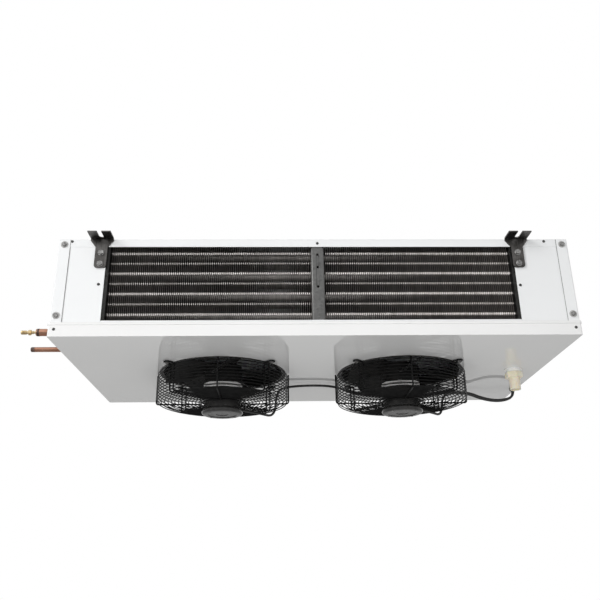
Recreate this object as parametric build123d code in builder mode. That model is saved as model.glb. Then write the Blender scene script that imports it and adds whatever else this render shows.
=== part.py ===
from build123d import *
import math
import os

os.makedirs("parts", exist_ok=True)

# Walk-in unit cooler, in millimetres. The origin is the middle of the plane in which the
# four hanger brackets meet the ceiling. Facing the coil, +X is right, +Y is away and +Z up.

# Driving dimensions: casing
tray_width = 1200.0  # across the drip tray's side rims
casing_depth = 620.0  # coil face to back panel
unit_height = 240.0  # underside of the drip tray to the top panel
sheet = 1.2  # casing panels
bend_radius = 2.5  # outside of a folded corner
cover_flange = 27.0  # end cover's flange on the front and back faces
rail_height = 20.0  # top panel's folded edge
opening_bottom = 38.0  # upper edge of the strip under the coil opening, above the underside
opening_left = -486.0  # coil opening between the front panels
opening_right = 466.0
panel_return = 6.0  # front panels' fold beside the coil opening
seam = 0.3  # gap between neighbouring panels

# Driving dimensions: drip tray
tray_sheet = 1.5
rim_height = 33.0
hem_height = 6.0
hem_width = 1.5

# Driving dimensions: coil
tube_pitch = 50.8
tube_levels = 4
tube_rows = 2
tube_dia = 15.9
fin_pitch = 4.5
fin_thickness = 0.4
coil_lift = 32.0  # fins' lower edge above the underside
coil_setback = 16.0  # fins' front edge behind the casing's face
sheet_inset = 8.0  # tube sheet's face inside the edge of the coil opening
tube_sheet_gauge = 1.5
tube_sheet_flange = 40.0
tube_clearance = 0.15
tube_overhang = 12.0  # straight tube past the tube sheet

# Driving dimensions: centre support
strut_x = 4.0
strut_width = 31.0
strut_depth = 12.0
strut_gauge = 2.0
strut_hole = 5.5
strut_hole_levels = (120.0, 169.0, 201.0)  # above the underside

# Driving dimensions: hangers and bolts
hanger_gauge = 3.0
hanger_x = (-498.0, 476.0)
hanger_width = 53.0
hanger_reach = 38.0  # flange's free edge in front of the casing
hanger_leg_width = 28.0
hanger_leg_length = 77.0
hanger_shoulder = 8.0  # full width down to here, then it tapers
hanger_neck = 24.5
hanger_slot_width = 10.5
hanger_slot_length = 26.0
hanger_bolt_levels = (39.0, 67.0)  # below the hanger plane
bolt_head_dia = 14.0
bolt_head = 5.0
cover_bolt_inset = 13.5
cover_bolt_levels = (17.0, 193.0)  # below the hanger plane

# Driving dimensions: fans
fan_spacing = 468.0
fan_setback = 316.0  # fan axis behind the casing's face
blade_tip_dia = 300.0
tip_clearance = 4.0
collar_gauge = 2.0
collar_height = 30.0
ring_dia = 330.0
ring_gauge = 1.5
rotor_dia = 100.0
rotor_top = 20.0  # above the underside
rotor_bottom = -34.0
shaft_dia = 12.0
shaft_length = 20.0
shaft_clearance = 0.05
motor_gap = 2.0  # between rotor and stator
motor_dia = 96.0
motor_cap_dia = 107.0
motor_cap_height = 20.0
motor_bottom = -109.0
blade_count = 5
blade_level = -2.0
blade_pitch = 28.0  # degrees
blade_chord = 134.0
blade_rise = 11.0
blade_shoulder = 8.0  # rise a quarter of the chord from either edge
blade_root = 42.0  # inside the rotor's drum
blade_root_width = 44.0
blade_lead = -22.0  # bearings of the tip's two corners
blade_trail = 14.0
blade_nose = (95.0, -50.0)
blade_tail = (95.0, 22.0)
blade_gauge = 2.4

# Driving dimensions: wire guards
guard_dia = 338.0
guard_drop = 78.0
wire = 3.0
side_pitch = 14.0
floor_pitch = 18.0
ring_sides = 16
arm_gap = 14.0  # between the two wires of a mounting arm
foot_reach = 182.0  # screw eye's distance from the fan axis
eye_dia = 15.0
eye_sides = 8

# Driving dimensions: drain, pipes and leads
drain_x = 527.0
drain_setback = 281.0
drain_nut_dia = 44.0
drain_nut = 9.0
drain_hex = 40.0  # across flats
drain_hex_height = 15.0
drain_tube_dia = 28.0
drain_tube_length = 31.0
drain_bore = 20.0
drain_thread_dia = 25.0
drain_inlet_height = 6.0  # stands up inside the tray
pipe_setback = 240.0
liquid_level = 47.0  # above the underside
suction_level = 93.0
liquid_dia = 12.7
suction_dia = 19.0
suction_reach = 110.0  # outside the end cover
liquid_reach = 119.0
plug_length = 10.0
pipe_clearance = 1.5
socket_wall = 0.5  # the lines are thinner than the stubs brazed onto them
joint_stand = 2.0  # from the end cover to each stub
suction_x = -548.0  # where the two lines turn back, inside the end cover
liquid_x = -525.0
valve_pipe_dia = 6.35
valve_pipe_length = 8.0
valve_body_dia = 8.0
valve_body_length = 18.0
valve_hex = 13.0  # across flats
valve_hex_start = 6.0
valve_hex_length = 7.0
valve_cap_dia = 11.0
valve_cap_length = 14.0
gland_x = 584.0
gland_setback = 472.0
gland_dia = 19.0
gland_height = 10.0
fitting_sides = 12  # flats around the small fittings
round_sides = 40  # flats around the large pressed and turned rounds
lead_dia = 6.5
lead_sides = 6
lead_spacing = 8.0
lead_boss_dia = 12.0
lead_boss_reach = 60.0  # face of the motor's lead boss from the fan axis
lead_boss_level = -85.0
lead_angle = 45.0

# Planes and edges that several pieces share
top = -hanger_gauge
under = top - unit_height
front = -casing_depth / 2
back = casing_depth / 2
casing_width = tray_width - 2 * tray_sheet
casing_floor = under + tray_sheet
tray_corner = bend_radius + tray_sheet
cover_edge = casing_width / 2 - cover_flange
panel_front = front + sheet  # outer face of what lies behind the covers and the rail
panel_back = back - sheet
panel_top = top - sheet
frame_front = panel_front + sheet  # outer face of the tube sheets' flanges
frame_back = panel_back - sheet
coil_left = opening_left + sheet_inset
coil_right = opening_right - sheet_inset
coil_front = front + coil_setback
coil_depth = tube_rows * tube_pitch
coil_bottom = under + coil_lift
coil_height = tube_levels * tube_pitch
tube_spots = [
    (coil_front + tube_pitch * (row + 0.5), coil_bottom + tube_pitch * (level + 0.5))
    for row in range(tube_rows)
    for level in range(tube_levels)
]
fan_y = front + fan_setback
fan_x = (-fan_spacing / 2, fan_spacing / 2)
collar_radius = blade_tip_dia / 2 + tip_clearance
orifice_radius = collar_radius + collar_gauge + seam
pipe_y = front + pipe_setback
drain_y = front + drain_setback
gland_y = front + gland_setback

# Top panel: a channel whose folded edges are the rails over the front and back panels
with BuildPart() as top_panel:
    with BuildSketch(Plane.YZ.offset(-cover_edge + seam)) as top_profile:
        with Locations((0, top - rail_height / 2)):
            Rectangle(casing_depth, rail_height)
        fillet(top_profile.vertices().group_by(Axis.Y)[-1], bend_radius)
        with Locations((0, top - sheet - rail_height / 2)):
            Rectangle(casing_depth - 2 * sheet, rail_height, mode=Mode.SUBTRACT)
    extrude(amount=2 * (cover_edge - seam))
top_panel.part.label = "top_panel"
export_step(top_panel.part, "parts/top_panel.step")

# End covers: shallow boxes, open towards the coil and at the bottom
for side, hand in ((-1, "left"), (1, "right")):
    with BuildPart() as end_cover:
        with BuildSketch(Plane.XY.offset(casing_floor)):
            with Locations((side * (cover_edge + cover_flange / 2), 0)):
                Rectangle(cover_flange, casing_depth)
        extrude(amount=top - casing_floor)
        outer = end_cover.faces().sort_by(Axis.X)[0 if side < 0 else -1]
        fillet(outer.edges().sort_by(Axis.Z)[1:], bend_radius)
        inner = end_cover.faces().sort_by(Axis.X)[-1 if side < 0 else 0]
        offset(amount=-sheet, openings=[inner, end_cover.faces().sort_by(Axis.Z)[0]])
        if side < 0:
            with BuildSketch(Plane.YZ.offset(-casing_width / 2)):
                with Locations((pipe_y, under + liquid_level)):
                    Circle(liquid_dia / 2 + pipe_clearance)
                with Locations((pipe_y, under + suction_level)):
                    Circle(suction_dia / 2 + pipe_clearance)
            extrude(amount=sheet, mode=Mode.SUBTRACT)
    end_cover.part.label = f"end_cover_{hand}"
    export_step(end_cover.part, f"parts/end_cover_{hand}.step")

# Front panels: flat strips beside the coil opening, each with a fold along the opening
panel_edge = casing_width / 2 - bend_radius
for side, hand, edge in ((-1, "left", opening_left), (1, "right", opening_right)):
    with BuildPart() as front_panel:
        with BuildSketch(Plane.XY.offset(casing_floor)):
            with Locations(((side * panel_edge + edge) / 2, panel_front + sheet / 2)):
                Rectangle(panel_edge - abs(edge), sheet)
        extrude(amount=panel_top - casing_floor)
    front_panel.part.label = f"front_panel_{hand}"
    export_step(front_panel.part, f"parts/front_panel_{hand}.step")

# Sill under the coil opening, with its upper edge folded back beside the centre support
strut_front = frame_front
sill_top = under + opening_bottom
fold_spans = (
    (coil_left + seam, strut_x - strut_width / 2 - seam),
    (strut_x + strut_width / 2 + seam, coil_right - seam),
)
with BuildPart() as front_sill:
    with BuildSketch(Plane.XZ.offset(-panel_front)):
        with Locations(((opening_left + opening_right) / 2, (casing_floor + sill_top) / 2)):
            Rectangle(opening_right - opening_left - 2 * seam, sill_top - casing_floor)
    extrude(amount=-sheet)
    with BuildSketch(Plane.XY.offset(sill_top - sheet)):
        for start, end in fold_spans:
            with Locations(((start + end) / 2, panel_front + panel_return / 2)):
                Rectangle(end - start, panel_return)
    extrude(amount=sheet)
front_sill.part.label = "front_sill"
export_step(front_sill.part, "parts/front_sill.step")

# Back panel, flat behind the covers' flanges and the rear rail
with BuildPart() as back_panel:
    with BuildSketch(Plane.XZ.offset(-panel_back)):
        with Locations((0, (casing_floor + panel_top) / 2)):
            Rectangle(2 * panel_edge, panel_top - casing_floor)
    extrude(amount=sheet)
back_panel.part.label = "back_panel"
export_step(back_panel.part, "parts/back_panel.step")

# Drip tray: it closes the casing below, carries the fans and drains at one corner
with BuildPart() as drip_tray:
    with BuildSketch(Plane.XY.offset(under)):
        RectangleRounded(tray_width, casing_depth + 2 * tray_sheet, tray_corner)
    extrude(amount=rim_height)
    offset(amount=-tray_sheet, openings=drip_tray.faces().sort_by(Axis.Z)[-1])
    with BuildSketch(Plane.XY.offset(under + rim_height - hem_height)):
        RectangleRounded(
            tray_width + 2 * hem_width,
            casing_depth + 2 * tray_sheet + 2 * hem_width,
            tray_corner + hem_width,
        )
        RectangleRounded(
            tray_width - tray_sheet,
            casing_depth + tray_sheet,
            tray_corner - tray_sheet / 2,
            mode=Mode.SUBTRACT,
        )
    extrude(amount=hem_height)
    with BuildSketch(Plane.XY.offset(under)):
        with Locations(*[(x, fan_y) for x in fan_x]):
            RegularPolygon(orifice_radius, round_sides)
        with Locations((drain_x, drain_y)):
            Circle(drain_thread_dia / 2 + tube_clearance)
    extrude(amount=tray_sheet, mode=Mode.SUBTRACT)
drip_tray.part.label = "drip_tray"
export_step(drip_tray.part, "parts/drip_tray.step")

# Tube sheets: full-depth partitions, flanged outwards front and back, that carry the coil
# and back the hanger brackets
for side, hand, face in ((-1, "left", coil_left), (1, "right", coil_right)):
    with BuildPart() as tube_sheet:
        with BuildSketch(Plane.XY.offset(casing_floor)):
            with Locations((face + side * tube_sheet_flange / 2, 0)):
                Rectangle(tube_sheet_flange, frame_back - frame_front)
            with Locations((face + side * (tube_sheet_flange / 2 + tube_sheet_gauge), 0)):
                Rectangle(
                    tube_sheet_flange,
                    frame_back - frame_front - 2 * tube_sheet_gauge,
                    mode=Mode.SUBTRACT,
                )
        extrude(amount=panel_top - casing_floor)
    tube_sheet.part.label = f"tube_sheet_{hand}"
    export_step(tube_sheet.part, f"parts/tube_sheet_{hand}.step")

# Fins: plain plates across the whole coil. The tubes are expanded into them and into the
# tube sheets, so these plates are left whole where the tubes grip them.
fin_room = coil_right - coil_left
fin_count = math.floor(fin_room / fin_pitch)
with BuildPart() as coil_fins:
    with Locations(
        ((coil_left + coil_right) / 2, coil_front + coil_depth / 2, coil_bottom + coil_height / 2)
    ):
        with GridLocations(fin_pitch, 1, fin_count, 1):
            Box(fin_thickness, coil_depth, coil_height)
coil_fins.part.label = "coil_fins"
export_step(coil_fins.part, "parts/coil_fins.step")

# Straight tubes through both tube sheets
tube_left = coil_left - tube_sheet_gauge - tube_overhang
tube_right = coil_right + tube_sheet_gauge + tube_overhang
with BuildPart() as coil_tubes:
    with BuildSketch(Plane.YZ.offset(tube_left)):
        with Locations(*tube_spots):
            Circle(tube_dia / 2)
    extrude(amount=tube_right - tube_left)
coil_tubes.part.label = "coil_tubes"
export_step(coil_tubes.part, "parts/coil_tubes.step")

# Return bends of the one circuit: each is an elbow of four mitres around half a turn
row_y = sorted({y for y, z in tube_spots})
level_z = sorted({z for y, z in tube_spots})
bend_reach = tube_pitch / 2
mitre = bend_reach * math.tan(math.radians(22.5))
half_turn = [
    (0, -bend_reach),
    (mitre, -bend_reach),
    (bend_reach, -mitre),
    (bend_reach, mitre),
    (mitre, bend_reach),
    (0, bend_reach),
]
pairs = [(tube_right, (y, low), (y, high)) for y in row_y for low, high in zip(level_z[::2], level_z[1::2])]
pairs += [(tube_left, (y, level_z[1]), (y, level_z[2])) for y in row_y]
pairs += [(tube_left, (row_y[0], level_z[-1]), (row_y[1], level_z[-1]))]
with BuildPart() as return_bends:
    for x, first, second in pairs:
        outward = 1 if x > 0 else -1
        middle = Vector(x, (first[0] + second[0]) / 2, (first[1] + second[1]) / 2)
        across = Vector(0, second[0] - first[0], second[1] - first[1]).normalized()
        points = [
            middle + Vector(outward * out, 0, 0) + across * along for out, along in half_turn
        ]
        with BuildLine() as bend_route:
            Polyline(*points)
        with BuildSketch(Plane(points[0], z_dir=(outward, 0, 0))):
            RegularPolygon(tube_dia / 2, 8)
        sweep(path=bend_route.wires()[0], transition=Transition.RIGHT)
return_bends.part.label = "return_bends"
export_step(return_bends.part, "parts/return_bends.step")

# Centre support: a channel in front of the fins, held by the rail and the sill
with BuildPart() as centre_support:
    with BuildSketch(Plane.XY.offset(casing_floor)) as strut_profile:
        with Locations((strut_x, strut_front + strut_depth / 2)):
            Rectangle(strut_width, strut_depth)
        fillet(strut_profile.vertices().group_by(Axis.Y)[0], bend_radius + strut_gauge)
        with Locations((strut_x, strut_front + strut_gauge + strut_depth / 2)):
            Rectangle(strut_width - 2 * strut_gauge, strut_depth, mode=Mode.SUBTRACT)
    extrude(amount=panel_top - casing_floor)
    with BuildSketch(Plane.XZ.offset(-strut_front)):
        with Locations(*[(strut_x, under + level) for level in strut_hole_levels]):
            Circle(strut_hole / 2)
    extrude(amount=-strut_gauge, mode=Mode.SUBTRACT)
centre_support.part.label = "centre_support"
export_step(centre_support.part, "parts/centre_support.step")

# Hanger brackets: a leg bolted through the panel, a tapered shoulder and a slotted flange
for x, hand in zip(hanger_x, ("left", "right")):
    for side, end in ((-1, "front"), (1, "rear")):
        face = side * casing_depth / 2
        free_edge = face + side * hanger_reach
        with BuildPart() as hanger:
            with BuildSketch(Plane.YZ.offset(x - hanger_width / 2)) as bend:
                with BuildLine():
                    Polyline(
                        (free_edge, 0),
                        (face, 0),
                        (face, -hanger_leg_length),
                        (face + side * hanger_gauge, -hanger_leg_length),
                        (face + side * hanger_gauge, -hanger_gauge),
                        (free_edge, -hanger_gauge),
                        close=True,
                    )
                make_face()
                fillet(bend.vertices().sort_by_distance((face, 0, 0))[0], 1.5 * hanger_gauge)
            extrude(amount=hanger_width)
            with BuildSketch(Plane.XZ.offset(-max(face, free_edge))) as leg:
                with BuildLine():
                    half, narrow = hanger_width / 2, hanger_leg_width / 2
                    Polyline(
                        (x - half, 0),
                        (x - half, -hanger_shoulder),
                        (x - narrow, -hanger_neck),
                        (x - narrow, -hanger_leg_length),
                        (x + narrow, -hanger_leg_length),
                        (x + narrow, -hanger_neck),
                        (x + half, -hanger_shoulder),
                        (x + half, 0),
                        close=True,
                    )
                make_face()
                fillet(leg.vertices().group_by(Axis.Y)[0], hanger_leg_width / 4)
            extrude(amount=hanger_reach, mode=Mode.INTERSECT)
            with BuildSketch(Plane.XY.offset(-hanger_gauge)):
                with Locations((x, free_edge - side * hanger_slot_length / 2)):
                    Rectangle(hanger_slot_width, hanger_slot_length)
                with Locations((x, free_edge - side * hanger_slot_length)):
                    Circle(hanger_slot_width / 2)
            extrude(amount=hanger_gauge, mode=Mode.SUBTRACT)
        hanger.part.label = f"hanger_{end}_{hand}"
        export_step(hanger.part, f"parts/hanger_{end}_{hand}.step")

# Bolt heads: hexagons seated on the brackets' legs and on the end covers' flanges
hanger_bolt_spots = [(x, -level) for x in hanger_x for level in hanger_bolt_levels]
cover_bolt_spots = [
    (side * (casing_width / 2 - cover_bolt_inset), -level)
    for side in (-1, 1)
    for level in cover_bolt_levels
]
for name, spots, seat in (
    ("hanger_bolts", hanger_bolt_spots, casing_depth / 2 + hanger_gauge),
    ("cover_bolts", cover_bolt_spots, casing_depth / 2),
):
    with BuildPart() as bolts:
        for side in (-1, 1):
            face = Plane(origin=(0, side * seat, 0), x_dir=(1, 0, 0), z_dir=(0, side, 0))
            with BuildSketch(face):
                with Locations(*[(x, -side * z) for x, z in spots]):
                    RegularPolygon(bolt_head_dia / 2, 6)
            extrude(amount=bolt_head)
    bolts.part.label = name
    export_step(bolts.part, f"parts/{name}.step")

# Fan blade: an arched plate set at its pitch, cut to a sickle outline that ends on the tip
# circle. It lies along +X, with the fan's axis at the origin.
blade_radius = blade_tip_dia / 2
pitch = math.radians(blade_pitch)
arch_plane = Plane(
    origin=(blade_root, 0, 0), x_dir=(0, math.cos(pitch), math.sin(pitch)), z_dir=(1, 0, 0)
)
tip_points = [
    (blade_radius * math.cos(math.radians(angle)), blade_radius * math.sin(math.radians(angle)))
    for angle in (blade_lead, (blade_lead + blade_trail) / 2, blade_trail)
]
with BuildPart() as blade:
    with BuildSketch(arch_plane):
        with BuildLine():
            Polyline(
                (-blade_chord / 2, 0),
                (-blade_chord / 4, blade_shoulder),
                (0, blade_rise),
                (blade_chord / 4, blade_shoulder),
                (blade_chord / 2, 0),
            )
            Line((blade_chord / 2, 0), (blade_chord / 2, blade_gauge))
            Polyline(
                (blade_chord / 2, blade_gauge),
                (blade_chord / 4, blade_shoulder + blade_gauge),
                (0, blade_rise + blade_gauge),
                (-blade_chord / 4, blade_shoulder + blade_gauge),
                (-blade_chord / 2, blade_gauge),
            )
            Line((-blade_chord / 2, blade_gauge), (-blade_chord / 2, 0))
        make_face()
    extrude(amount=blade_radius - blade_root)
    with BuildSketch(Plane.XY.offset(-blade_chord)):
        with BuildLine():
            ThreePointArc((blade_root, -blade_root_width / 2), blade_nose, tip_points[0])
            ThreePointArc(*tip_points)
            ThreePointArc(tip_points[2], blade_tail, (blade_root, blade_root_width / 2))
            Line((blade_root, blade_root_width / 2), (blade_root, -blade_root_width / 2))
        make_face()
    extrude(amount=2 * blade_chord, mode=Mode.INTERSECT)

# Guard: where its rings and ribs lie, from the fan's axis and the tray's underside
guard_radius = guard_dia / 2
ring_turn = 180 / ring_sides  # puts a flat of each ring at every rib
rib_reach = (guard_radius - wire) * math.cos(math.pi / ring_sides)
rib_level = wire - guard_drop
rib_end = motor_dia / 2 + seam
side_count = math.floor((guard_drop - 2 * wire) / side_pitch)
side_levels = [-step * side_pitch - wire for step in range(1, side_count + 1)]
floor_count = math.floor((guard_radius - wire - rib_end) / floor_pitch)
floor_radii = [guard_radius - wire - step * floor_pitch for step in range(floor_count)]

# Fans: each has an inlet ring, a motor, a rotor with its blades, and a wire guard
for number, x in enumerate(fan_x, start=1):
    # Inlet ring: a flange under the tray and a collar around the blade tips
    with BuildPart() as fan_ring:
        with BuildSketch(Plane((x, fan_y, under - ring_gauge))):
            RegularPolygon(ring_dia / 2, round_sides)
            RegularPolygon(collar_radius, round_sides, mode=Mode.SUBTRACT)
        extrude(amount=ring_gauge)
        with BuildSketch(Plane((x, fan_y, under))):
            RegularPolygon(collar_radius + collar_gauge, round_sides)
            RegularPolygon(collar_radius, round_sides, mode=Mode.SUBTRACT)
        extrude(amount=collar_height)
    fan_ring.part.label = f"fan_ring_{number}"
    export_step(fan_ring.part, f"parts/fan_ring_{number}.step")

    # Motor: a stator housing with a wider cap, a bore for the shaft and a boss for the lead
    motor_top = rotor_bottom - motor_gap
    with BuildPart() as fan_motor:
        with BuildSketch(Plane((x, fan_y, under + motor_bottom))):
            RegularPolygon(motor_cap_dia / 2, round_sides)
        extrude(amount=motor_cap_height)
        with BuildSketch(Plane((x, fan_y, under + motor_bottom + motor_cap_height))):
            RegularPolygon(motor_dia / 2, round_sides)
        extrude(amount=motor_top - motor_bottom - motor_cap_height)
        with BuildSketch(Plane((x, fan_y, under + motor_top))):
            Circle(shaft_dia / 2 + shaft_clearance)
        extrude(amount=-shaft_length, mode=Mode.SUBTRACT)
        turn = math.radians(lead_angle)
        outward = Plane(
            origin=(x, fan_y, under + lead_boss_level),
            z_dir=(math.cos(turn), math.sin(turn), 0),
        )
        with BuildSketch(outward.offset(motor_dia / 4)):
            RegularPolygon(lead_boss_dia / 2, 6)
        extrude(amount=lead_boss_reach - motor_dia / 4)
    fan_motor.part.label = f"fan_motor_{number}"
    export_step(fan_motor.part, f"parts/fan_motor_{number}.step")

    # Rotor: a drum with its shaft down in the motor's bore, and the blades around it
    with BuildPart(Plane((x, fan_y, under + blade_level))) as fan_rotor:
        with PolarLocations(0, blade_count):
            add(blade.part)
        with BuildSketch(Plane((x, fan_y, under + rotor_bottom))):
            RegularPolygon(rotor_dia / 2, round_sides)
        extrude(amount=rotor_top - rotor_bottom)
        with BuildSketch(Plane((x, fan_y, under + rotor_bottom))):
            Circle(shaft_dia / 2)
        extrude(amount=-shaft_length)
    fan_rotor.part.label = f"fan_rotor_{number}"
    export_step(fan_rotor.part, f"parts/fan_rotor_{number}.step")

    # Wire guard: rings stacked down the side and laid across the floor, welded to bent ribs
    # and to four double arms that end in screw eyes under the tray. The wires only touch.
    with BuildPart() as fan_guard:
        for level in side_levels:
            with BuildSketch(Plane((x, fan_y, under + level))):
                RegularPolygon(guard_radius, ring_sides, rotation=ring_turn)
                RegularPolygon(
                    guard_radius - wire, ring_sides, rotation=ring_turn, mode=Mode.SUBTRACT
                )
            extrude(amount=wire)
        with BuildSketch(Plane((x, fan_y, under - guard_drop))):
            for radius in floor_radii:
                RegularPolygon(radius, ring_sides, rotation=ring_turn)
                RegularPolygon(
                    radius - wire, ring_sides, rotation=ring_turn, mode=Mode.SUBTRACT
                )
        extrude(amount=wire)
        for bearing in range(0, 360, 45):
            turn = math.radians(bearing)
            rib_plane = Plane(
                origin=(x, fan_y, under),
                x_dir=(math.cos(turn), math.sin(turn), 0),
                z_dir=(math.sin(turn), -math.cos(turn), 0),
            )
            double = bearing % 90 == 45
            for shift in (-arm_gap / 2, arm_gap / 2) if double else (0,):
                with BuildSketch(rib_plane.offset(shift - wire / 2)):
                    with Locations((rib_reach - wire, rib_level)):
                        Rectangle(wire, -ring_gauge - rib_level, align=Align.MIN)
                    with Locations((rib_end, rib_level)):
                        Rectangle(rib_reach - rib_end, wire, align=Align.MIN)
                    if double:
                        with Locations((rib_reach - wire, -ring_gauge - wire)):
                            Rectangle(foot_reach - rib_reach, wire, align=Align.MIN)
                extrude(amount=wire)
            if double:
                eye = Vector(x, fan_y, under) + Vector(rib_plane.x_dir) * foot_reach
                with BuildSketch(Plane(eye).offset(-ring_gauge - wire)):
                    RegularPolygon(eye_dia / 2, eye_sides)
                extrude(amount=ring_gauge + wire)
    fan_guard.part.label = f"fan_guard_{number}"
    export_step(fan_guard.part, f"parts/fan_guard_{number}.step")

# Drain: a threaded outlet with a hexagon and a spigot, clamped to the tray by a flange nut
drain_top = under + tray_sheet + drain_inlet_height
with BuildPart() as drain_nut_piece:
    with BuildSketch(Plane((drain_x, drain_y, under - drain_nut))):
        RegularPolygon(drain_nut_dia / 2, round_sides)
        Circle(drain_thread_dia / 2 + tube_clearance, mode=Mode.SUBTRACT)
    extrude(amount=drain_nut)
drain_nut_piece.part.label = "drain_nut"
export_step(drain_nut_piece.part, "parts/drain_nut.step")

with BuildPart() as drain_outlet:
    with BuildSketch(Plane((drain_x, drain_y, under - drain_nut))):
        Circle(drain_thread_dia / 2)
    extrude(amount=drain_top - under + drain_nut)
    with BuildSketch(Plane((drain_x, drain_y, under - drain_nut - drain_hex_height))):
        RegularPolygon(drain_hex / 2, 6, major_radius=False)
    extrude(amount=drain_hex_height)
    with BuildSketch(Plane((drain_x, drain_y, under - drain_nut - drain_hex_height))):
        Circle(drain_tube_dia / 2)
    extrude(amount=-drain_tube_length)
    with BuildSketch(Plane((drain_x, drain_y, drain_top))):
        Circle(drain_bore / 2)
    extrude(amount=-unit_height, mode=Mode.SUBTRACT)
drain_outlet.part.label = "drain_outlet"
export_step(drain_outlet.part, "parts/drain_outlet.step")

# Suction and liquid lines: from the circuit's two ends, back, and to the left end cover,
# where each is brazed to the stub that stands out of it
cover_face = -casing_width / 2
joint_face = cover_face - joint_stand
suction_end = cover_face - suction_reach
liquid_end = cover_face - liquid_reach
for name, row, turn_x, level, end, dia in (
    ("suction", row_y[0], suction_x, suction_level, suction_end, suction_dia),
    ("liquid", row_y[1], liquid_x, liquid_level, liquid_end + plug_length, liquid_dia),
):
    with BuildPart() as pipe:
        with BuildLine() as pipe_route:
            Polyline(
                (tube_left, row, level_z[0]),
                (turn_x, row, level_z[0]),
                (turn_x, pipe_y, under + level),
                (joint_face, pipe_y, under + level),
            )
        with BuildSketch(Plane((tube_left, row, level_z[0]), z_dir=(-1, 0, 0))):
            Circle(dia / 2 - socket_wall)
        sweep(path=pipe_route.wires()[0], transition=Transition.RIGHT)
    pipe.part.label = f"{name}_line"
    export_step(pipe.part, f"parts/{name}_line.step")

    with BuildPart() as stub:
        with BuildSketch(Plane((joint_face, pipe_y, under + level), z_dir=(-1, 0, 0))):
            Circle(dia / 2)
        extrude(amount=joint_face - end)
    stub.part.label = f"{name}_stub"
    export_step(stub.part, f"parts/{name}_stub.step")

# Plug in the liquid line's end, and the access valve with its cap on the suction line's end
with BuildPart() as liquid_plug:
    with BuildSketch(Plane((liquid_end, pipe_y, under + liquid_level), z_dir=(1, 0, 0))):
        RegularPolygon(liquid_dia / 2, fitting_sides)
    extrude(amount=plug_length)
liquid_plug.part.label = "liquid_plug"
export_step(liquid_plug.part, "parts/liquid_plug.step")

valve_start = Plane((suction_end, pipe_y, under + suction_level), z_dir=(-1, 0, 0))
with BuildPart() as access_valve:
    with BuildSketch(valve_start):
        RegularPolygon(valve_pipe_dia / 2, fitting_sides)
    extrude(amount=valve_pipe_length)
    with BuildSketch(valve_start.offset(valve_pipe_length)):
        RegularPolygon(valve_body_dia / 2, fitting_sides)
    extrude(amount=valve_body_length)
    with BuildSketch(valve_start.offset(valve_pipe_length + valve_hex_start)):
        RegularPolygon(valve_hex / 2, 6, major_radius=False)
    extrude(amount=valve_hex_length)
access_valve.part.label = "access_valve"
export_step(access_valve.part, "parts/access_valve.step")

with BuildPart() as valve_cap:
    with BuildSketch(valve_start.offset(valve_pipe_length + valve_body_length)):
        RegularPolygon(valve_cap_dia / 2, fitting_sides)
    extrude(amount=valve_cap_length)
valve_cap.part.label = "valve_cap"
export_step(valve_cap.part, "parts/valve_cap.step")

# Cable gland in the tray, over the leads' far ends
with BuildPart() as cable_gland:
    with BuildSketch(Plane((gland_x, gland_y, under - gland_height))):
        RegularPolygon(gland_dia / 2, fitting_sides)
    extrude(amount=gland_height)
cable_gland.part.label = "cable_gland"
export_step(cable_gland.part, "parts/cable_gland.step")

# Fan leads: from each motor's boss, along the guard, and free to the gland. Each point is
# given from the casing's face and the tray's underside, and each corner takes as large an
# arc as its two runs allow.
lead_points = {
    "fan_lead_1": [
        (-142, 401, -85.5),
        (-99, 451, -85),
        (-95, 449, -17),
        (-70, 403, -10),
        (60, 397, -9),
        (118, 476, -12),
        (206, 512, -12),
        (302, 504, -12),
        (380, 476, -13),
        (452, 476, -15),
        (492, 482, -30),
        (531, 484, -37),
        (562, 482, -35),
        (583, 477, -26),
    ],
    "fan_lead_2": [
        (326, 401, -85.5),
        (369, 451, -85),
        (374, 451, -18),
        (450, 464, -14),
        (492, 473, -29),
        (531, 476, -36),
        (562, 474, -34),
        (583, 469, -26),
    ],
}

# The leads are drawn six-sided, with the section area of the round cable
lead_sketch_radius = math.sqrt(math.pi * lead_dia**2 / 4 / (lead_sides / 2 * math.sin(math.tau / lead_sides)))
for number, x in enumerate(fan_x, start=1):
    name = f"fan_lead_{number}"
    turn = math.radians(lead_angle)
    boss = Vector(
        x + lead_boss_reach * math.cos(turn),
        fan_y + lead_boss_reach * math.sin(turn),
        under + lead_boss_level,
    )
    shift = lead_spacing / 2 if number == 1 else -lead_spacing / 2
    entry = Vector(gland_x, gland_y + shift, under - gland_height)
    middle = [Vector(px, front + depth, under + level) for px, depth, level in lead_points[name]]
    route = [boss, *middle, entry]
    runs = [after - before for before, after in zip(route, route[1:])]
    radii = [
        0.45 * min(a.length, b.length) / math.tan(math.radians(a.get_angle(b) / 2))
        for a, b in zip(runs, runs[1:])
    ]
    with BuildPart() as fan_lead:
        with BuildLine() as lead_route:
            FilletPolyline(*route, radius=radii)
        with BuildSketch(Plane(route[0], z_dir=runs[0])):
            RegularPolygon(lead_sketch_radius, lead_sides)
        sweep(path=lead_route.wires()[0])
    fan_lead.part.label = name
    export_step(fan_lead.part, f"parts/{name}.step")
    length = lead_route.wires()[0].length
    share = fan_lead.part.volume / (length * math.pi * lead_dia**2 / 4)
    print(name, "length", round(length), "volume share", round(share, 4))
    print("radii", [round(radius) for radius in radii], "turns", [
        round(a.get_angle(b)) for a, b in zip(runs, runs[1:])
    ])
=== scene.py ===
import bmesh
import bpy
import math
from mathutils import Matrix, Vector


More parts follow.
